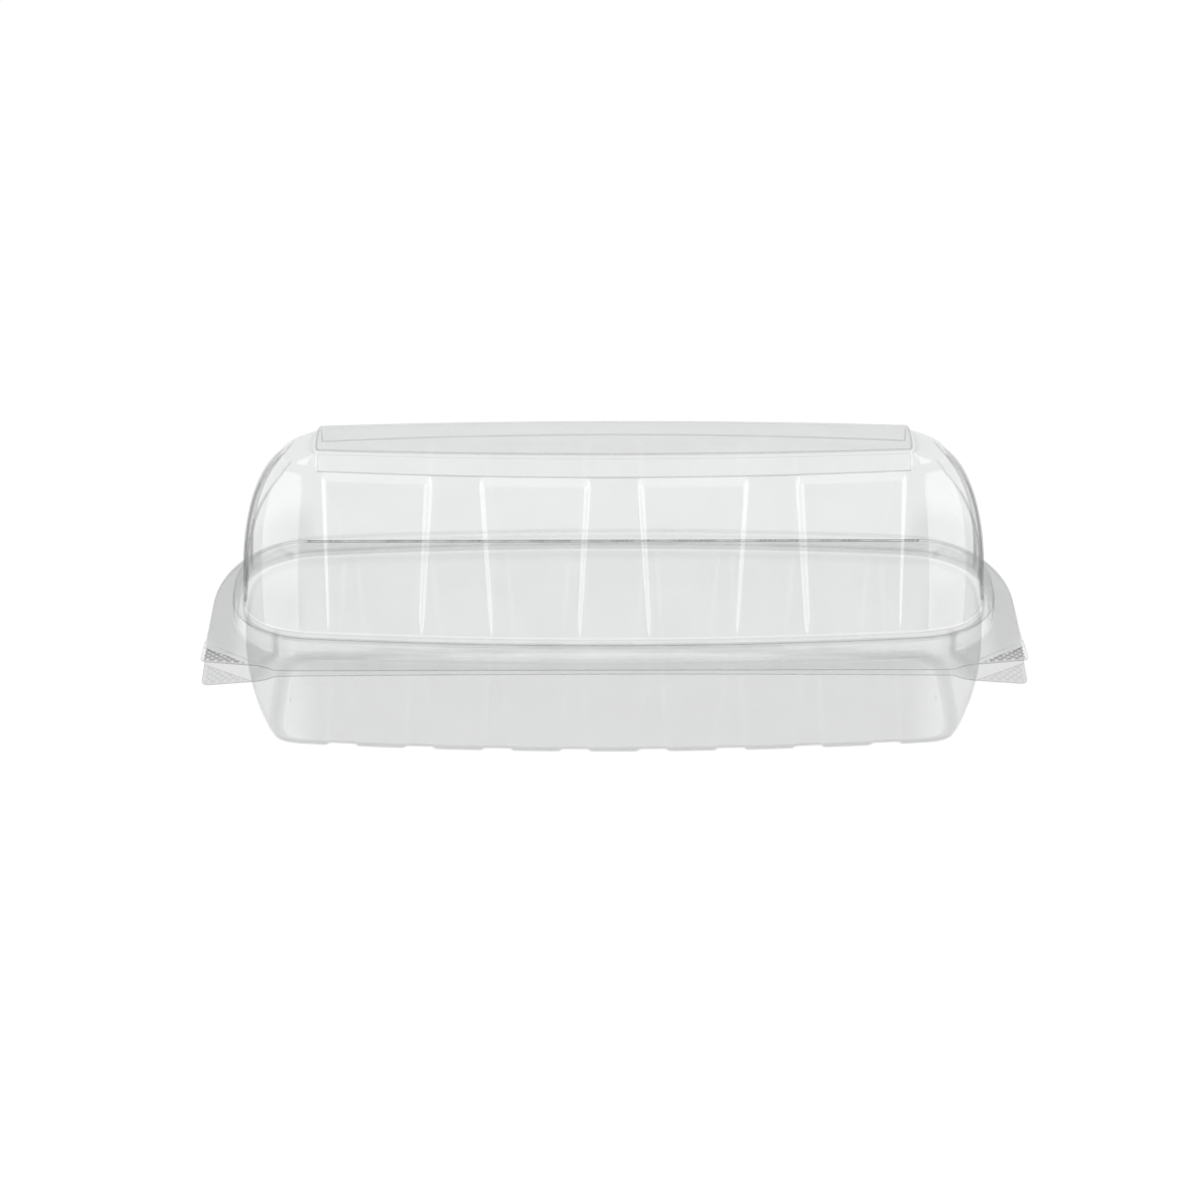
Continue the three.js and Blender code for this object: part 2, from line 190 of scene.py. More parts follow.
# ---- Plan outlines ---------------------------------------------------------------------------------------
# A mark is (position along a side, inset from the plain outline, painted shading). The painted shading of a
# point of the sheet is 0 where the sheet is plain, above 0 on a crease, where it is painted shade that lets
# less light through, and below 0 where it is painted light that lets more through. A sharp crease has about
# 1.
SLOPE_STEPS = (0.0, 0.14, 0.32, 0.5, 0.68, 0.86, 1.0)


def mirrored(marks):
    return [(-x, inset, fold) for x, inset, fold in reversed(marks)]


def recess(start, end, slope, depth, inner_steps, fold):
    """Marks across a recess with soft sloped sides."""
    rising = [(start + slope * s, depth * smooth(s), fold * crest(s)) for s in SLOPE_STEPS]
    falling = [(start + end - place, inset, mark) for place, inset, mark in reversed(rising)]
    low, high = start + slope, end - slope
    middle = [(lerp(low, high, (i + 1) / (inner_steps + 1)), depth, 0.0) for i in range(inner_steps)]
    return rising + middle + falling


def plain(start, end, steps):
    """Marks between two positions, without its ends."""
    return [(lerp(start, end, (i + 1) / (steps + 1)), 0.0, 0.0) for i in range(steps)]


def recessed_side(recesses, inner_steps, gap_steps, fold):
    """Marks along a long side with recesses, each (start, end, slope, depth), mirrored about its middle."""
    right = []
    here = 0.0
    for start, end, slope, depth in recesses:
        right += plain(here, start, gap_steps) + recess(start, end, slope, depth, inner_steps, fold)
        here = end
    right += plain(here, KNEE, 1) + [(KNEE, 0.0, 0.0)]
    return mirrored(right) + [(0.0, 0.0, 0.0)] + right


def end_marks(plan, recess_depth, outer, corner_steps=20):
    """Marks in y from the front knee to the rear knee of an end with two recesses beside a rib. The marks
    of the rounded corners lie closer together towards the knees."""
    half = half_depth(plan, KNEE)
    outer = min(outer, half * 0.84)
    start_angle = math.asin((outer / half) ** (plan["power"] / 2))
    corner = []
    for i in range(1, corner_steps):
        angle = math.pi / 2 - (math.pi / 2 - start_angle) * (1 - i / corner_steps) ** 1.4
        corner.append((half * math.sin(angle) ** (2 / plan["power"]), 0.0, 0.0))
    fold = END_RECESS["fold"] * recess_depth / END_RECESS["depth"]
    recessed = recess(RIB_HALF, outer, END_RECESS["slope"], recess_depth, 4, fold)
    rear = [(RIB_HALF / 2, 0.0, 0.0)] + recessed + corner
    return mirrored(rear) + [(0.0, 0.0, 0.0)] + rear


def outline(plan, side, end):
    """Closed ring of (x, y, painted shading), anticlockwise from the front left knee."""
    front = [(x, inset - half_depth(plan, x), fold) for x, inset, fold in side]
    half = half_depth(plan, KNEE)
    right = []
    for y, inset, fold in end:
        reach = (1 - abs(y / half) ** plan["power"]) ** (1 / plan["power"])
        x = KNEE + (plan["length"] - KNEE) * reach
        right.append((x - inset, y * half_depth(plan, x) / half, fold))
    ring = front + right
    return np.array(ring + [(-x, -y, fold) for x, y, fold in ring])


def grown(ring, distance):
    """A ring moved outward by a distance, which may differ from point to point."""
    along = np.roll(ring[:, :2], -1, axis=0) - np.roll(ring[:, :2], 1, axis=0)
    along /= np.linalg.norm(along, axis=1, keepdims=True)
    moved = ring.copy()
    moved[:, 0] += along[:, 1] * distance
    moved[:, 1] -= along[:, 0] * distance
    return moved


# ---- Sheets ----------------------------------------------------------------------------------------------
class Sheet:
    """Rows of points with their painted shading."""

    def __init__(self):
        self.rows = []
        self.folds = []

    def add(self, points, z, fold=0.0):
        """Adds a row of (x, y, painted shading) at height z, with further painted shading along it."""
        self.rows.append(np.column_stack([points[:, :2], np.broadcast_to(z, len(points))]))
        self.folds.append(points[:, 2] + fold)

    def relaxed(self):
        """The rows as one grid, smoothed a little in both directions."""
        grid = np.array(self.rows)
        grid[1:-1] = grid[1:-1] * 0.6 + (grid[:-2] + grid[2:]) * 0.2
        around = np.roll(grid, 1, axis=1) + np.roll(grid, -1, axis=1)
        grid[1:] = grid[1:] * 0.6 + around[1:] * 0.2
        return grid


def facing_pairs(ring):
    """Pairs of points that face each other across a closed ring, from its left end to its right end."""
    count = len(ring)
    off_axis = np.where(ring[:, 0] < 0, np.abs(ring[:, 1]), np.inf)
    left_end = int(np.argmin(off_axis))
    return [((left_end + k) % count, (left_end - k) % count) for k in range(count // 2 + 1)]


def closed_sheet(name, sheet, cap_steps=8):
    """Mesh of a sheet whose rows are rings, closed at the last ring by strips straight across it."""
    grid = sheet.relaxed()
    row_count, count = grid.shape[:2]
    points = grid.reshape(-1, 3).tolist()
    folds = np.array(sheet.folds).ravel().tolist()
    faces = []
    for i in range(row_count - 1):
        for j in range(count):
            a, b = i * count + j, i * count + (j + 1) % count
            faces.append((a, b, b + count, a + count))
    base = (row_count - 1) * count
    strips = []
    for front, rear in facing_pairs(grid[-1]):
        inner = []
        for s in range(1, cap_steps if front != rear else 1):
            inner.append(len(points))
            points.append(lerp(grid[-1][front], grid[-1][rear], s / cap_steps).tolist())
            folds.append(float(sheet.folds[-1][front]))
        strips.append([base + front] + (inner or [base + front] * (cap_steps - 1)) + [base + rear])
    for one, two in zip(strips, strips[1:]):
        for s in range(cap_steps):
            corners = list(dict.fromkeys((one[s], two[s], two[s + 1], one[s + 1])))
            if len(corners) > 2:
                faces.append(corners)
    return wall_mesh(name, points, faces, folds)


def open_sheet(name, sheet):
    """Mesh of a sheet with four free edges."""
    grid = np.array(sheet.rows)
    row_count, count = grid.shape[:2]
    faces = []
    for i in range(row_count - 1):
        for j in range(count - 1):
            a = i * count + j
            faces.append((a, a + 1, a + count + 1, a + count))
    return wall_mesh(name, grid.reshape(-1, 3).tolist(), faces, np.array(sheet.folds).ravel().tolist())


def wall_mesh(name, points, faces, folds):
    """Gives a sheet its thickness: two faces half a sheet to each side, joined along its edges. These have
    the material of cut edges, except on the line where the knurled corners carry on from a flange."""
    middle = bmesh.new()
    verts = [middle.verts.new([c * MM for c in p]) for p in points]
    for face in faces:
        middle.faces.new([verts[i] for i in face])
    middle.normal_update()
    count = len(points)
    reach = [HALF_SHEET * MM * min(v.calc_shell_factor(), MITRE_LIMIT) for v in verts]
    outer = [v.co + v.normal * r for v, r in zip(verts, reach)]
    inner = [v.co - v.normal * r for v, r in zip(verts, reach)]
    middle.verts.index_update()
    rims = []
    for edge in middle.edges:
        if edge.is_boundary:
            loop = edge.link_loops[0]
            rims.append((loop.vert.index, loop.link_loop_next.vert.index))
    middle.free()
    place = np.array(points)
    at_knurl_line = np.abs(beyond(place[:, 0], place[:, 1], KNURL_X, KNURL_Y)) < 0.1
    walls = [tuple(face) for face in faces] + [tuple(i + count for i in reversed(face)) for face in faces]
    cut = [(b, a, a + count, b + count) for a, b in rims]
    mesh = bpy.data.meshes.new(name)
    mesh.from_pydata(outer + inner, [], walls + cut)
    mesh.shade_smooth()
    edge_slots = [0 if at_knurl_line[a] and at_knurl_line[b] else 1 for a, b in rims]
    mesh.polygons.foreach_set("material_index", [0] * len(walls) + edge_slots)
    # The painted shading of each point: above 0 painted shade, below 0 painted light, read by the film
    mark = mesh.attributes.new("fold", "FLOAT", "POINT")
    mark.data.foreach_set("value", folds + folds)
    sharp = {tuple(sorted(pair)) for a, b in rims for pair in ((a, b), (a + count, b + count))}
    corner = mesh.attributes.new("sharp_edge", "BOOLEAN", "EDGE")
    corner.data.foreach_set("value", [tuple(sorted(e.vertices)) in sharp for e in mesh.edges])
    piece = bpy.data.objects.new(name, mesh)
    bpy.context.scene.collection.objects.link(piece)
    return piece


# ---- Flange and tabs -------------------------------------------------------------------------------------
def flange_path():
    """Corners of the flange's cut edge, without the knurled corners, all round."""
    right = [(KNURL_X, FRONT_Y), (HALF_LENGTH, KNURL_Y), (HALF_LENGTH, 0.0)]
    steps = 16
    for i in range(1, steps + 1):
        angle = i / steps * math.pi / 2
        x = HINGE_HALF + (HALF_LENGTH - HINGE_HALF) * math.cos(angle)
        right.append((x, HINGE_Y * math.sin(angle)))
    return np.array(right + [(-x, y) for x, y in reversed(right)])


def flange_edge(inner):
    """For each point of the inner ring, the point of the cut edge that lies straight outward from the
    middle line of the carton. The points nearest to the corners of the cut edge move onto them."""
    path = flange_path()
    middle_half = 92.0
    edge = []
    for x, y, _ in inner:
        anchor = np.array([clamp(x, -middle_half, middle_half), 0.0])
        way = np.array([x, y]) - anchor
        reach = math.inf
        for a, b in zip(path, np.roll(path, -1, axis=0)):
            side, gap = b - a, a - anchor
            cross = way[0] * side[1] - way[1] * side[0]
            if abs(cross) < 1e-12:
                continue
            far = (gap[0] * side[1] - gap[1] * side[0]) / cross
            along = (gap[0] * way[1] - gap[1] * way[0]) / cross
            if far > 0 and -1e-9 <= along <= 1 + 1e-9:
                reach = min(reach, far)
        edge.append((*(anchor + way * reach), 0.0))
    edge = np.array(edge)
    for x, y in ((KNURL_X, FRONT_Y), (HALF_LENGTH, KNURL_Y), (HINGE_HALF, HINGE_Y)):
        for sign in (1, -1):
            corner = np.array([x * sign, y, 0.0])
            edge[np.argmin(np.linalg.norm(edge - corner, axis=1))] = corner
    return edge


def beyond(x, y, start_x, end_y):
    """How far a plan point lies beyond the line across the nearer front corner that runs from the front
    edge at start_x to the end edge at end_y; negative inside."""
    run = np.array([HALF_LENGTH - start_x, end_y - FRONT_Y])
    outward = np.array([run[1], -run[0]]) / np.linalg.norm(run)
    return (np.abs(x) - start_x) * outward[0] + (y - FRONT_Y) * outward[1]


def tab_bend(x, y, bend):
    """Height that the fold of a tab adds at a plan point."""
    step, slope = bend
    past = np.maximum(beyond(x, y, BEND_X, BEND_Y), 0)
    return step * smooth(past / BEND_SOFT) + slope * past


def lid_leaf_z(x, y):
    """Height of the lid's flange and tabs."""
    return PARTING_Z + LEAF + tab_bend(x, y, LID_BEND)


def base_leaf_z(x, y):
    """Height of the base's flange and tabs."""
    droop = (DROOP[0] + DROOP[1] * (x / BEND_X) ** 2) * smooth((10 - y) / 60)
    return PARTING_Z - LEAF - droop + tab_bend(x, y, BASE_BEND)


def add_flange(sheet, inner, leaf_z, fold, steps=20):
    """Rows from the cut edge of a flange in to the ring where the wall starts to rise."""
    edge = flange_edge(inner)
    for i in range(steps + 1):
        points = lerp(edge, inner, i / steps)
        # Painted shading: one value in the middle of the flange, another towards its ends
        at_end = smooth((np.abs(points[:, 0]) - fold["ends_from"]) / fold["slope"])
        sheet.add(points, leaf_z(points[:, 0], points[:, 1]), lerp(fold["middle"], fold["ends"], at_end))


def knurl(x, y):
    """Crossed ridges from 0 to 1 that stop short of the free edges and fade out at the knurl line."""
    a = x / KNURL_PITCH[0] + y / KNURL_PITCH[1]
    b = x / KNURL_PITCH[0] - y / KNURL_PITCH[1]
    ridges = [np.clip(1 - np.abs(2 * (v - np.floor(v)) - 1) / KNURL_RIDGE, 0, 1) for v in (a, b)]
    from_edge = np.minimum(HALF_LENGTH - np.abs(x), y - FRONT_Y)
    from_line = beyond(x, y, KNURL_X, KNURL_Y)
    return np.maximum(*ridges) * smooth((from_edge - KNURL_MARGIN) / 0.4) * smooth(from_line / 0.5)


def tab_sheet(sign, leaf_z, height, mark):
    """A knurled corner, in rows from the front edge back, each from the knurl line to the outer edge. It
    keeps a hair's breadth from the flange, and stops short of the point where the knurl line meets the end
    edge. The ridges have the given height, and the painted shade given as mark."""
    sheet = Sheet()
    steps_x, steps_y = 84, 76
    gap, blunt = 0.03, 0.25
    for i in range(steps_y + 1):
        y = lerp(FRONT_Y, KNURL_Y - blunt, (i / steps_y) ** 1.1)
        below = max(FRONT_Y + TAB_ROUND - y, 0)
        tip_x = HALF_LENGTH - TAB_ROUND + math.sqrt(TAB_ROUND**2 - below**2)
        start_x = lerp(KNURL_X, HALF_LENGTH, (y - FRONT_Y) / (KNURL_Y - FRONT_Y)) + gap
        x = np.linspace(start_x, max(tip_x, start_x + 0.1), steps_x + 1)[::sign]
        ridge = knurl(x, y)
        points = np.column_stack([sign * x, np.full_like(x, y), mark * ridge])
        sheet.add(points, leaf_z(x, y) + height * ridge)
    return sheet


# ---- Lid -------------------------------------------------------------------------------------------------
# A height called up is above the parting plane.
def dome_plan(up):
    """Plan of the dome without its recesses; its ends follow a rounded arch."""
    rise = clamp((up - LEDGE_UP) / (SHOULDER_UP - LEDGE_UP))
    if up < CREASE_UP:
        plan = mix_plans(AT_LEDGE, AT_CREASE, (up - LEDGE_UP) / (CREASE_UP - LEDGE_UP))
    else:
        plan = mix_plans(AT_CREASE, AT_ROOF, (up - CREASE_UP) / (ROOF_UP - CREASE_UP))
    plan["length"] = lerp(AT_ROOF["length"], AT_LEDGE["length"], (1 - rise**DOME_POWER) ** (1 / DOME_POWER))
    plan["power"] = END_POWER
    return plan


def window_side(up):
    """Marks of a long side with its window panels, which fade out just below the crease."""
    t = clamp((up - LEDGE_UP) / (CREASE_UP - LEDGE_UP))
    share = clamp((CREASE_UP - up) / (CREASE_UP - WINDOW_TOP_UP))
    depth = lerp(*WINDOW_DEPTH, t) * share * smooth((up - LEDGE_UP) / 3)
    slope = lerp(*WINDOW_SLOPE, t)
    recesses = []
    for low, high in zip(WINDOWS_LOW, WINDOWS_HIGH):
        recesses.append((lerp(low[0], high[0], t), lerp(low[1], high[1], t), slope, depth))
    return recessed_side(recesses, 6, 4, WINDOW_PAINTED_SHADING * share)


def dome_end(plan, up):
    """Marks of an end with its recesses beside the rib."""
    t = clamp((up - LEDGE_UP) / (END_RECESS["top"] - LEDGE_UP))
    depth = END_RECESS["depth"] * smooth((END_RECESS["top"] - up) / 2.5)
    return end_marks(plan, depth, lerp(END_RECESS["low"], END_RECESS["high"], t) + END_RECESS["slope"])


def dome_outline(up, **changes):
    """Ring of the dome with all its recesses, where changes to its plan may be given."""
    plan = dict(dome_plan(up), **changes)
    return outline(plan, window_side(up), dome_end(plan, up))


def below_roof(ring, up, fold):
    """A ring of the dome, sunk below the roof bands beyond the knees, with the given painted shading between
    the knees, and painted shade at the knees and low on the ends.
    """
    x, y = np.abs(ring[:, 0]), np.abs(ring[:, 1])
    past_knee = (x > KNEE + 0.05).astype(float)
    at_knee = np.abs(x - KNEE) < 0.05
    rise = smooth((up - CREASE_UP + 0.3) / 1.5)
    sides = smooth((y - 0.4 * y.max()) / 3)
    sunk = grown(ring, -ROOF_STEP * rise * past_knee * sides)
    sunk[:, 2] += fold * (1 - past_knee) + KNEE_PAINTED_SHADING * rise * at_knee
    corner = smooth((x - CORNER_PAINTED_SHADING["start"]) / CORNER_PAINTED_SHADING["slope"])
    sunk[:, 2] += CORNER_PAINTED_SHADING["fold"] * corner * smooth((CORNER_PAINTED_SHADING["top"] - up) / CORNER_PAINTED_SHADING["fade"])
    return sunk


def without_insets(marks):
    """The marks of a plain outline at the same positions."""
    return [(place, 0.0, 0.0) for place, _, _ in marks]


def collar_foot(side):
    """The foot of the dome as a plain outline, with the marks of a side."""
    plan = dome_plan(LEDGE_UP)
    return outline(plan, without_insets(side), without_insets(dome_end(plan, LEDGE_UP)))


def collar(foot, distance, out, up=0.0, snap=0.0):
    """The foot outline moved outward. At distance out, its long sides stand proud and carry the snap bars,
    which have the height given as snap."""
    x, y = np.abs(foot[:, 0]), foot[:, 1]
    long_side = smooth((PROUD["half"] - x) / PROUD["slope"])
    above_low = smooth((up - SNAP["low"]) / SNAP["slope"] + 0.5)
    below_high = smooth((SNAP["high"] - up) / SNAP["slope"] + 0.5)
    between_ends = smooth(np.minimum(x - SNAP["start"], SNAP["end"] - x) / SNAP["end_slope"] + 0.5)
    at_face = clamp(distance / out)
    bar = above_low * below_high
    along_bar = between_ends * (at_face > 0.99)
    ring = grown(foot, distance + PROUD["out"] * long_side * at_face + snap * bar * along_bar)
    # Painted shade on the slopes where the long sides stand proud, painted light along the edges of the snap
    # bars, and on the rear painted shade at the foot and painted light higher up
    ring[:, 2] += PROUD["fold"] * crest(long_side) * at_face
    ring[:, 2] += SNAP_PAINTED_SHADING * crest(bar) * along_bar
    rear = smooth((y - REAR_PAINTED_SHADING["start_y"]) / REAR_PAINTED_SHADING["slope"])
    rise = smooth((up - REAR_PAINTED_SHADING["low"]) / REAR_PAINTED_SHADING["rise"])
    ring[:, 2] += rear * lerp(REAR_PAINTED_SHADING["foot"], REAR_PAINTED_SHADING["above"], rise)
    return ring


def add_lid_collar(sheet):
    """The flange, the skirt that rises from it, and the ledge in to the foot of the dome."""
    foot = collar_foot(window_side(LEDGE_UP))
    out, bend, top = COLLAR_OUT, COLLAR_ROUND, LEDGE_UP - HALF_SHEET
    cut = bend * ARC_MIDDLE
    add_flange(sheet, collar(foot, out + bend, out), lid_leaf_z, LID_FLANGE_PAINTED_SHADING)
    # Each row of the profile: distance outward from the foot of the dome, height and painted shading
    profile = [(out + cut, LEAF + cut, -0.1), (out, LEAF + bend, -0.1)]
    profile += [(out, up, -0.05) for up in np.linspace(LEAF + bend + 0.4, top - bend - 0.3, 16)]
    profile += [(out, top - bend, 0.1), (out - cut, top - cut, 1.2), (out - bend, top, 0.1)]
    profile += [(distance, top, 0.0) for distance in np.linspace(out - bend - 0.3, 0.6, 5)]
    profile += [(0.25, top, 0.3), (0.0, top + 0.12, 0.0), (-0.12, top + 0.35, -0.3)]
    for distance, up, fold in profile:
        sheet.add(collar(foot, distance, out, up, SNAP["lid"]), PARTING_Z + up, fold)


def add_dome(sheet):
    """Rows of the dome up to its shoulder, closer together where the wall turns."""
    lower = (7.6, 8.2, 9.2, 10.8, 13, 16)
    walls = (*np.arange(19.5, 49.5, 3.3), 50.4, 51.2, WINDOW_TOP_UP, 52.4, 53.3, 54.1)
    # Rows of the crease: height above it, and painted shade along it
    crease = ((-0.35, 0.0), (-0.12, 0.7), (0.0, 0.9), (0.12, 0.7), (0.35, 0.0), (0.9, 0.0))
    crown = (56.6, 57.3, 58.0, 58.6, 59.1, 59.5, 59.85, 60.15)
    rows = [(up, 0.0) for up in lower + walls]
    rows += [(CREASE_UP + above, fold) for above, fold in crease]
    rows += [(up, 0.0) for up in crown]
    for up, fold in rows:
        sheet.add(below_roof(dome_outline(up), up, fold), PARTING_Z + up)


def add_roof(sheet):
    """The low step up to the flat roof, and the roof's edge."""
    # Each row of the step: height, how much longer than the roof, and painted shading
    step = ((60.35, 0.8, 0.3), (60.6, 0.6, 0.0), (60.95, 0.4, 0.0), (61.3, 0.2, 0.1), (61.6, 0.05, 0.7))
    for up, longer, fold in step:
        length = AT_ROOF["length"] + longer
        sheet.add(dome_outline(up, length=length, power=ROOF_POWER), PARTING_Z + up - HALF_SHEET / 2, fold)
    roof = dome_outline(ROOF_UP, length=AT_ROOF["length"], power=ROOF_POWER)
    # Rows of the roof's edge: how far in, and painted shading, strongest as painted shade at the edge
    for inward, fold in ((0.1, 1.6), (0.4, 0.3), (1.2, 0.25), (2.4, 0.25)):
        share = [1 - inward / AT_ROOF["length"], 1 - inward / AT_ROOF["depth"], 1]
        sheet.add(roof * share, PARTING_Z + ROOF_UP - HALF_SHEET, fold)


def lid_sheet():
    """The whole lid, from its cut edge to its roof."""
    sheet = Sheet()
    add_lid_collar(sheet)
    add_dome(sheet)
    add_roof(sheet)
    return sheet


# ---- Base ------------------------------------------------------------------------------------------------
def flute_side(t):
    """Marks of a long side of the tray, from its top at t = 0 to its floor at t = 1."""
    half = lerp(*FLUTE_WIDTH, t) / 2
    depth = lerp(*FLUTE_DEPTH, t) * smooth(t * 12)
    slope = lerp(*FLUTE_SLOPE, t)
    return recessed_side([(x - half, x + half, slope, depth) for x in FLUTES], 2, 3, FLUTE_PAINTED_SHADING)


def tray_outline(t):
    """Ring of the tray, from its top at t = 0 to its floor at t = 1; its ends bulge between these."""
    plan = mix_plans(TRAY_TOP, TRAY_FLOOR, t)
    plan["length"] += TRAY_BULGE * crest(t)
    return outline(plan, flute_side(t), end_marks(plan, 0.0, PLAIN_MARKS))


def floor_outline(inward, fluted):
    """The foot of the tray moved inward, with its flutes or as a plain ring."""
    plan = dict(TRAY_FLOOR)
    plan["length"] -= inward
    plan["depth"] -= inward
    side = flute_side(1) if fluted else without_insets(flute_side(1))
    return outline(plan, side, end_marks(plan, 0.0, PLAIN_MARKS))


def add_base_rim(sheet):
    """The flange, and the plug rim that rises from it and turns down into the tray."""
    foot = collar_foot(flute_side(0))
    out, bend, top, low = RIM_OUT, COLLAR_ROUND, RIM_UP - HALF_SHEET, -LEAF
    inner = out - RIM_WIDTH
    cut = bend * ARC_MIDDLE
    add_flange(sheet, collar(foot, out + bend, out), base_leaf_z, BASE_FLANGE_PAINTED_SHADING)
    # Each row of the profile: distance outward from the foot of the lid's dome, height and painted shading
    profile = [(out + cut, low + cut, -0.1), (out, low + bend, -0.1)]
    profile += [(out, up, -0.3) for up in np.linspace(low + bend + 0.4, top - bend - 0.3, 14)]
    profile += [(out, top - bend, -0.1), (out - cut, top - cut, 0.3), (out - bend, top, 0.0)]
    profile += [(inner + bend, top, 0.0), (inner + cut, top - cut, 0.3), (inner, top - bend, -0.1)]
    profile += [(inner, up, -0.3) for up in np.linspace(top - bend - 0.3, 0.6, 5)]
    for distance, up, fold in profile:
        sheet.add(collar(foot, distance, out, up, SNAP["base"]), PARTING_Z + up, fold)


def add_tray(sheet):
    """The fluted walls, the rounded foot and the edge of the flat floor."""
    top = PARTING_Z - 0.5
    walls = (0.0, 0.02, 0.05, 0.08, 0.12, 0.18, 0.26, 0.34, 0.42, 0.5, 0.58, 0.66, 0.74, 0.82, 0.88, 0.93)
    for t in walls:
        ring = tray_outline(t)
        x, y = np.abs(ring[:, 0]), ring[:, 1]
        # Painted shade on the front wall between the corners, and at the foot of the rear wall
        between_corners = smooth((FRONT_WALL_PAINTED_SHADING["end"] - x) / FRONT_WALL_PAINTED_SHADING["slope"])
        front = FRONT_WALL_PAINTED_SHADING["fold"] * (y < 0) * between_corners
        rear = REAR_PAINTED_SHADING["foot"] * (y > 0) * (1 - smooth(t * 10))
        sheet.add(ring, top * (1 - t), front + rear)
    steps = 6
    # The rounded foot carries the front wall's painted shade all round
    for i in range(steps):
        angle = i / (steps - 1) * math.pi / 2
        inward, rise = FOOT_ROUND * (1 - math.cos(angle)), FOOT_ROUND * (1 - math.sin(angle))
        sheet.add(floor_outline(inward, True), HALF_SHEET + rise, FRONT_WALL_PAINTED_SHADING["fold"])
    for inward in (4.4, 5.4):
        sheet.add(floor_outline(inward, False), HALF_SHEET)


def base_sheet():
    """The whole base, from its cut edge to its floor."""
    sheet = Sheet()
    add_base_rim(sheet)
    add_tray(sheet)
    return sheet


# ---- Hinge -----------------------------------------------------------------------------------------------
def hinge_sheet():
    """Half a crimped tube along the rear edge, from the base leaf round to the lid leaf. Its fine crimps
    have an uneven pitch, are stronger in patches, and carry painted shade that is strongest in the patches."""
    sheet = Sheet()
    x = np.linspace(-HINGE_HALF, HINGE_HALF, 901)
    crimp = 0.5 + 0.5 * np.sin(x * 4.1 + 1.3 * np.sin(x * 0.73))
    patches = smooth(0.5 + 0.9 * np.sin(x * 0.19 + 1.0) * np.sin(x * 0.43))
    steps = 12
    for i in range(steps + 1):
        angle = lerp(-math.pi / 2, math.pi / 2, i / steps)
        swell = math.cos(angle) ** 2
        radius = LEAF + (CRIMP_HEIGHT * (crimp * patches - 0.25)) * swell
        # The third column is painted shade on the crimps
        points = np.column_stack([x, HINGE_Y + radius * math.cos(angle), crimp * patches * swell])
        sheet.add(points, PARTING_Z + radius * math.sin(angle))
    return sheet


# ---- Materials -------------------------------------------------------------------------------------------
class Nodes:
    """Shorthand for building a node tree."""

    def __init__(self, tree):
        self.tree = tree
        self.tree.nodes.clear()

    def put(self, socket, value):
        if isinstance(value, bpy.types.NodeSocket):
            self.tree.links.new(value, socket)
        else:
            socket.default_value = value

    def add(self, kind, inputs, **settings):
        made = self.tree.nodes.new("ShaderNode" + kind)
        for key, value in settings.items():
            setattr(made, key, value)
        for key, value in inputs.items():
            self.put(made.inputs[key], value)
        return made

    def maths(self, operation, *values):
        return self.add("Math", dict(enumerate(values)), operation=operation).outputs[0]

    def between(self, low, high, share):
        """low at share 0 and high at share 1."""
        return self.maths("MULTIPLY_ADD", share, high - low, low)

    def noise(self, scale, detail):
        place = self.add("TexCoord", {}).outputs["Object"]
        return self.add("TexNoise", {"Vector": place, "Scale": scale, "Detail": detail}).outputs["Fac"]

    def mixed(self, share, first, second):
        return self.add("MixShader", {0: share, 1: first, 2: second}).outputs[0]


def clear_film(name, tint, grazing, fold_tint, rough, ripple, haze):
    """Clear glossy film. Tint is the light it lets through face on; seen edge on, it mirrors more and lets
    through that times grazing, as painted shade for the dark edges of a clear sheet, and where its painted
    shading is 1 it lets through that times the tint given for painted shade."""
    material = bpy.data.materials.new(name)
    material.use_nodes = True
    n = Nodes(material.node_tree)
    waves = n.noise(85, 2)
    normal = n.add("Bump", {"Strength": ripple, "Distance": 0.0004, "Height": waves}).outputs[0]
    smudges = n.noise(55, 6)
    facing = n.add("LayerWeight", {"Blend": 0.5, "Normal": normal}).outputs["Facing"]
    mirror = n.between(*MIRRORED, n.maths("POWER", facing, MIRROR_POWER))
    aslant = n.maths("POWER", facing, ASLANT_POWER)
    fold = n.add("Attribute", {}, attribute_name="fold").outputs["Fac"]
    # Painted shade: less light through edge on and on creases, and painted light where the painted shading
    # is below 0
    clear = n.maths("MULTIPLY", n.between(tint, tint * grazing, aslant), n.between(1.0, fold_tint, fold))
    clear = n.maths("MINIMUM", n.maths("MULTIPLY", clear, n.between(1.008, 0.985, smudges)), CLEAREST)
    colour = n.add("CombineColor", {0: n.maths("MULTIPLY", clear, 0.998), 1: clear, 2: clear}).outputs[0]
    # The reflections grow weaker edge on, a painted shade for the dark edges of a clear sheet
    shine = n.between(SHINE, grazing - EDGE_SHINE_LOSS, aslant)
    shine_colour = n.add("CombineColor", {0: shine, 1: shine, 2: shine}).outputs[0]
    roughness = n.between(rough * 0.5, rough * 1.7, smudges)
    film = n.add("BsdfTransparent", {"Color": colour}).outputs[0]
    dust = n.add("BsdfDiffuse", {"Color": (0.82, 0.83, 0.84, 1), "Normal": normal}).outputs[0]
    body = n.mixed(n.between(haze * 0.5, haze * 1.5, smudges), film, dust)
    look = {"Color": shine_colour, "Roughness": roughness, "Normal": normal}
    gloss = n.add("BsdfGlossy", look).outputs[0]
    n.add("OutputMaterial", {"Surface": n.mixed(mirror, body, gloss)})
    return material


def floor_material():
    """White floor with an even light of its own."""
    material = bpy.data.materials.new("studio_floor")
    material.use_nodes = True
    shader = material.node_tree.nodes["Principled BSDF"]
    shader.inputs["Base Color"].default_value = (0.02, 0.02, 0.02, 1)
    shader.inputs["Roughness"].default_value = 0.9
    shader.inputs["Specular IOR Level"].default_value = 0.0
    shader.inputs["Emission Color"].default_value = (1, 1, 1, 1)
    shader.inputs["Emission Strength"].default_value = 1.0
    return material


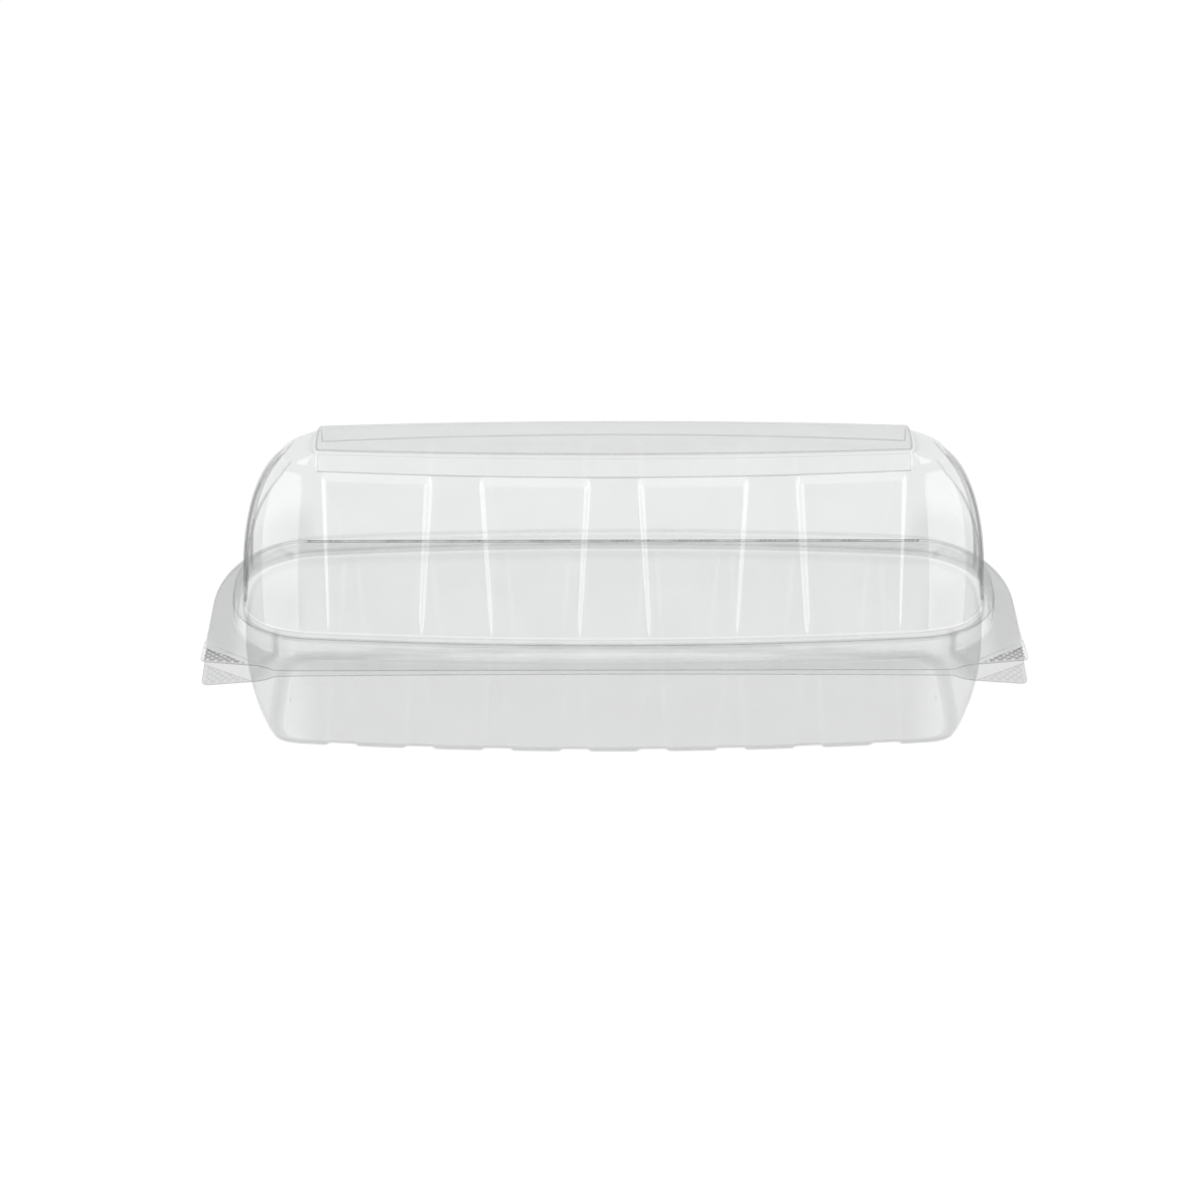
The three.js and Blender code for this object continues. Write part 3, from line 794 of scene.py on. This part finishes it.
# ---- Pieces ----------------------------------------------------------------------------------------------
def dress(piece, film, edge, nodes):
    """Gives a piece its film and cut edge material, and hides the parts of the model that it stands for."""
    piece.data.materials.append(film)
    piece.data.materials.append(edge)
    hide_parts(*nodes)


def build_carton():
    lid_film = clear_film(
        "clear_sheet_lid", tint=0.972, grazing=0.62, fold_tint=0.83, rough=0.05, ripple=0.035, haze=0.008
    )
    base_film = clear_film(
        "clear_sheet_base", tint=0.945, grazing=0.84, fold_tint=0.87, rough=0.07, ripple=0.04, haze=0.010
    )
    lid_tab_film = clear_film(
        "clear_tab_lid", tint=0.965, grazing=0.62, fold_tint=0.5, rough=0.10, ripple=0.05, haze=0.02
    )
    base_tab_film = clear_film(
        "clear_tab_base", tint=0.88, grazing=0.7, fold_tint=0.80, rough=0.10, ripple=0.05, haze=0.02
    )
    fold_film = clear_film(
        "clear_hinge", tint=0.96, grazing=0.7, fold_tint=0.3, rough=0.22, ripple=0.3, haze=0.03
    )
    cut_edge = clear_film(
        "cut_edge", tint=0.64, grazing=0.7, fold_tint=0.8, rough=0.25, ripple=0.2, haze=0.05
    )
    lid = closed_sheet("lid_shell", lid_sheet())
    dress(lid, lid_film, cut_edge, ("lid_dome", "lid_roof", "lid_skirt", "lid_flange"))
    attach(lid, "lid")
    base = closed_sheet("base_shell", base_sheet())
    dress(base, base_film, cut_edge, ("base_tray", "base_rim", "base_flange"))
    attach(base, "base")
    for side, sign in (("left", -1), ("right", 1)):
        upper = open_sheet(f"lid_pull_tab_{side}", tab_sheet(sign, lid_leaf_z, *LID_KNURL))
        dress(upper, lid_tab_film, cut_edge, (f"lid_tab_{side}",))
        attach(upper, "lid")
        lower = open_sheet(f"base_pull_tab_{side}", tab_sheet(sign, base_leaf_z, *BASE_KNURL))
        dress(lower, base_tab_film, cut_edge, (f"base_tab_{side}",))
        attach(lower, "base")
    film = open_sheet("hinge_film", hinge_sheet())
    dress(film, fold_film, cut_edge, ("hinge_strip",))
    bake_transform(film)


# ---- Studio ----------------------------------------------------------------------------------------------
def build_floor():
    """A wide plain floor."""
    half = 6.0
    mesh = bpy.data.meshes.new("floor")
    corners = [(-half, -half, 0), (half, -half, 0), (half, half, 0), (-half, half, 0)]
    mesh.from_pydata(corners, [], [(0, 1, 2, 3)])
    floor = bpy.data.objects.new("floor", mesh)
    mesh.materials.append(floor_material())
    bpy.context.scene.collection.objects.link(floor)


def softbox(name, place, width, height, watts):
    """A large soft lamp aimed at the carton."""
    lamp = bpy.data.lights.new(name, "AREA")
    lamp.shape = "RECTANGLE"
    lamp.size = width
    lamp.size_y = height
    lamp.energy = watts
    made = bpy.data.objects.new(name, lamp)
    made.location = place
    made.rotation_euler = (Vector((0, 0, 0.05)) - Vector(place)).to_track_quat("-Z", "Y").to_euler()
    bpy.context.scene.collection.objects.link(made)


def build_world():
    """Pale round the horizon and darker overhead, so that the clear film shows by what it reflects."""
    world = bpy.data.worlds.new("studio")
    world.use_nodes = True
    n = Nodes(world.node_tree)
    way = n.add("TexCoord", {}).outputs["Generated"]
    height = n.add("SeparateXYZ", {0: way}).outputs["Z"]
    rise = n.add("MapRange", {"Value": height, "From Min": 0.08, "From Max": 0.42}).outputs[0]
    horizon, overhead = 0.8, 0.3
    light = n.between(horizon, overhead, rise)
    n.add("OutputWorld", {"Surface": n.add("Background", {"Color": light}).outputs[0]})
    bpy.context.scene.world = world


def build_camera():
    """A long lens in front of the carton, aimed a little to the left of its middle and below it."""
    elevation, turn = math.radians(26.0), math.radians(-0.45)
    distance = 1.272
    aim_left, aim_down = 0.0046, 0.0080
    middle = Vector((0, 0, 0.047))
    level = math.cos(elevation)
    away = Vector((math.sin(turn) * level, -math.cos(turn) * level, math.sin(elevation)))
    right = Vector((math.cos(turn), math.sin(turn), 0))
    up = right.cross(-away)
    aim = middle - right * aim_left - up * aim_down
    data = bpy.data.cameras.new("camera")
    data.lens = 112.5
    data.sensor_width = 36
    data.clip_end = 50
    camera = bpy.data.objects.new("camera", data)
    camera.location = middle + away * distance
    camera.rotation_euler = (aim - camera.location).to_track_quat("-Z", "Y").to_euler()
    bpy.context.scene.collection.objects.link(camera)
    bpy.context.scene.camera = camera


def build_studio():
    build_floor()
    build_world()
    for side, sign in (("left", -1), ("right", 1)):
        softbox(f"softbox_{side}", (1.4 * sign, -0.95, 0.45), width=1.6, height=1.0, watts=7)
    softbox("softbox_top", (0, -0.4, 2.2), width=1.4, height=1.0, watts=8)
    scene = bpy.context.scene
    scene.view_settings.view_transform = "Standard"
    scene.cycles.max_bounces = 12
    scene.cycles.glossy_bounces = 6
    scene.cycles.transparent_max_bounces = 64


build_carton()
build_studio()
build_camera()
